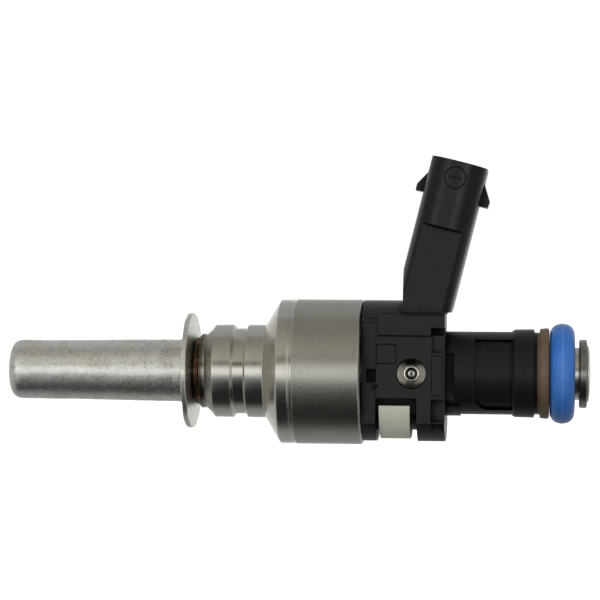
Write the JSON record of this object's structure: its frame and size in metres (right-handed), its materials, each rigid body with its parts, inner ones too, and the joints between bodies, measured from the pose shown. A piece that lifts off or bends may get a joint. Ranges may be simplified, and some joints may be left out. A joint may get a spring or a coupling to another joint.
{
  "type": "fuel injector",
  "caption": "Solenoid fuel injector for direct injection, with a leaning electrical connector, ring seals at the inlet and a push-on metal cap over the nozzle.",
  "frame": {"origin": "on the injector's axis, in the plane where the seating cone meets the full-width housing, which is where the cylinder head takes the injector's thrust", "axes": "+X along the injector's axis towards the fuel inlet, so the nozzle points to -X; +Z towards the connector; +Y towards the rear flat of the connector housing"},
  "size_m": [0.0858, 0.0212, 0.0422],
  "materials": {
    "drawn_aluminium": "drawn, satin, lightly dented and stained",
    "polished_steel": "turned and polished stainless steel",
    "satin_steel": "fine grained satin stainless steel",
    "hard_steel": "ground",
    "magnetic_steel": "turned",
    "black_plastic": "moulded glass-filled nylon, satin",
    "grey_plastic": "moulded, smooth matte",
    "bobbin_plastic": "moulded",
    "copper_wire": "enamelled copper wire",
    "contact_metal": "tinned",
    "blue_rubber": "moulded, slightly shiny",
    "brown_polymer": "filled fluoropolymer, satin",
    "white_polymer": "fluoropolymer, satin"
  },
  "bodies": {
    "housing": {"nozzle_tube": "polished_steel", "combustion_seal": "white_polymer", "valve_seat": "hard_steel", "guide_disc": "hard_steel", "needle_guide": "hard_steel", "lower_body": "polished_steel", "coil_shell": "satin_steel", "nonmagnetic_sleeve": "polished_steel", "closing_spring": "hard_steel", "pole_piece": "magnetic_steel", "adjusting_sleeve": "polished_steel", "coil_bobbin": "bobbin_plastic", "coil_winding": "copper_wire", "flux_washer": "magnetic_steel", "terminal_front": "contact_metal", "terminal_rear": "contact_metal", "inlet_barrel": "black_plastic", "connector_housing": "black_plastic", "lock_pin_front": "polished_steel", "lock_pin_rear": "polished_steel", "locating_clip": "grey_plastic", "inlet_tube": "polished_steel", "backup_ring": "brown_polymer", "upper_o_ring": "blue_rubber", "end_plate": "satin_steel", "filter_cage": "white_polymer", "filter_mesh": "hard_steel"},
    "needle": {"valve_ball": "hard_steel", "needle_stem": "hard_steel", "armature": "magnetic_steel"},
    "cap": {"protective_cap": "drawn_aluminium"}
  },
  "joints": [
    {"name": "needle_lift", "type": "slide", "parent": "housing", "child": "needle", "axis": [1, 0, 0], "range_m": [0, 0.0001], "stiffness_N_per_m": 300, "springref_m": -0.0002, "deforming": ["closing_spring"]},
    {"name": "cap_pull", "type": "slide", "parent": "housing", "child": "cap", "axis": [-1, 0, 0], "range_m": [0, 0.03]}
  ]
}
